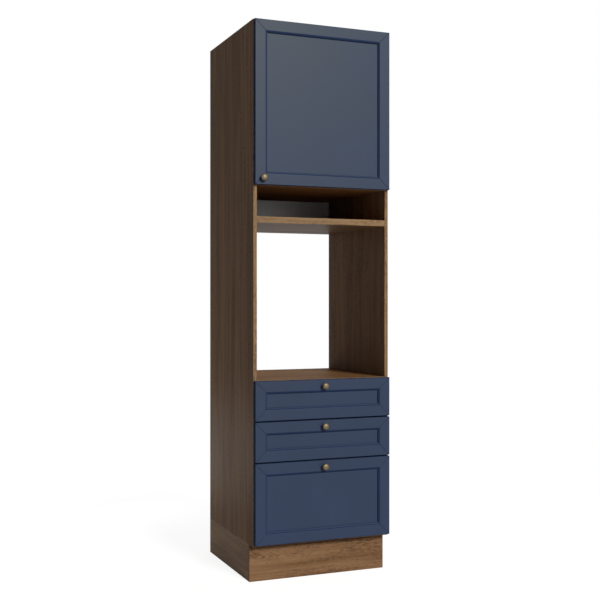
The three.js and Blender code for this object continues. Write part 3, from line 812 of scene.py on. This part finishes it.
# Nails of the back panels, into the rear edges of the boards
NAIL_INSET = 9 * MM
NAIL_RISE = 150 * MM  # about this far from nail to nail up a side
NAIL_PITCH = 120 * MM  # and this far across
NAIL_COLUMNS = (-1.5, -0.5, 0.5, 1.5)  # in pitches from the middle
for sheet in ("lower_back_panel", "upper_back_panel"):
    lo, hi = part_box(sheet)
    rows = max(2, round((hi.z - lo.z) / NAIL_RISE))
    step = (hi.z - lo.z - 2 * NAIL_INSET) / rows
    levels = [lo.z + NAIL_INSET + i * step for i in range(rows + 1)]
    spots = [((x, hi.y, z), "rear") for x in (lo.x + NAIL_INSET, hi.x - NAIL_INSET) for z in levels]
    ends = (levels[0], levels[-1])
    spots += [((x * NAIL_PITCH, hi.y, z), "rear") for x in NAIL_COLUMNS for z in ends]
    fitted(nail, sheet + "_nails", nickel, "carcass", spots)

for model in (knob, screw, cap, nail, buffer, support):
    bpy.data.objects.remove(model)

# ---- Stage, light and camera ----


def studio_rays(tree):
    """1 on rays from the camera and on mirror and glass rays, which show the white background."""
    path = add(tree, "LightPath").outputs
    either = {"operation": "MAXIMUM"}
    sight = add(tree, "Math", either, {0: path["Is Camera Ray"], 1: path["Is Glossy Ray"]}).outputs[0]
    return add(tree, "Math", either, {0: sight, 1: path["Is Transmission Ray"]}).outputs[0]


def make_room():
    world = bpy.data.worlds.new("studio")
    world.use_nodes = True
    bpy.context.scene.world = world
    tree = world.node_tree
    tree.nodes.clear()
    light = add(tree, "Background", {"Color": grey(1), "Strength": ROOM_LIGHT}).outputs[0]
    white = add(tree, "Background", {"Color": grey(1), "Strength": 1.0}).outputs[0]
    either = add(tree, "MixShader", {}, {0: studio_rays(tree), 1: light, 2: white}).outputs[0]
    add(tree, "OutputWorld", {}, {"Surface": either})


def make_floor():
    """A pale floor. Near the unit it takes the shadow; further out it fades into the white."""
    bpy.ops.object.select_all(action="DESELECT")
    bpy.ops.mesh.primitive_plane_add(size=FLOOR_SIZE)
    floor = bpy.context.object
    floor.name = "studio_floor"
    material = bpy.data.materials.new("studio_floor_paper")
    material.use_nodes = True
    tree = material.node_tree
    tree.nodes.clear()
    place = add(tree, "TexCoord").outputs["Object"]
    away = add(tree, "VectorMath", {"operation": "LENGTH"}, {0: place}).outputs["Value"]
    fade = {"From Min": FADE_START, "From Max": FADE_END}
    shade = {**fade, "To Min": SHADOW_SHARE, "To Max": 0.0}
    near = add(tree, "MapRange", shade, {"Value": away}).outputs[0]
    shine = {**fade, "To Min": NEAR_GLOW, "To Max": 1.0}
    glow = add(tree, "MapRange", shine, {"Value": away}).outputs[0]
    paper = add(tree, "BsdfDiffuse", {"Color": grey(FLOOR_GREY)}).outputs[0]
    white = add(tree, "Emission", {"Color": grey(1)}, {"Strength": glow}).outputs[0]
    seen = add(tree, "MixShader", {}, {0: near, 1: white, 2: paper}).outputs[0]
    either = add(tree, "MixShader", {}, {0: studio_rays(tree), 1: paper, 2: seen}).outputs[0]
    add(tree, "OutputMaterial", {}, {"Surface": either})
    floor.data.materials.append(material)


def make_lamp(name, place, target, size, power):
    """A round soft lamp that shines from its place on its target, out of the camera's sight."""
    lamp = bpy.data.objects.new(name, bpy.data.lights.new(name, "AREA"))
    lamp.data.shape = "DISK"
    lamp.data.size = size
    lamp.data.energy = power
    lamp.visible_camera = False
    lamp.location = place
    lamp.rotation_euler = (place - target).to_track_quat("Z", "Y").to_euler()
    bpy.context.scene.collection.objects.link(lamp)


def make_camera():
    camera = bpy.data.objects.new("camera", bpy.data.cameras.new("camera"))
    camera.data.lens = CAMERA_LENS
    camera.data.sensor_width = SENSOR_WIDTH
    camera.location = CAMERA_PLACE
    camera.rotation_euler = (math.radians(90), 0, CAMERA_TURN)
    bpy.context.scene.collection.objects.link(camera)
    bpy.context.scene.camera = camera


make_room()
make_floor()
make_lamp("key_softbox", KEY_PLACE, MIDDLE, KEY_SIZE, KEY_POWER)
make_lamp("low_reflector", LOW_PLACE, LOW_TARGET, LOW_SIZE, LOW_POWER)
make_lamp("rear_softbox", REAR_PLACE, MIDDLE, REAR_SIZE, REAR_POWER)
make_camera()
bpy.context.scene.view_settings.view_transform = "Standard"
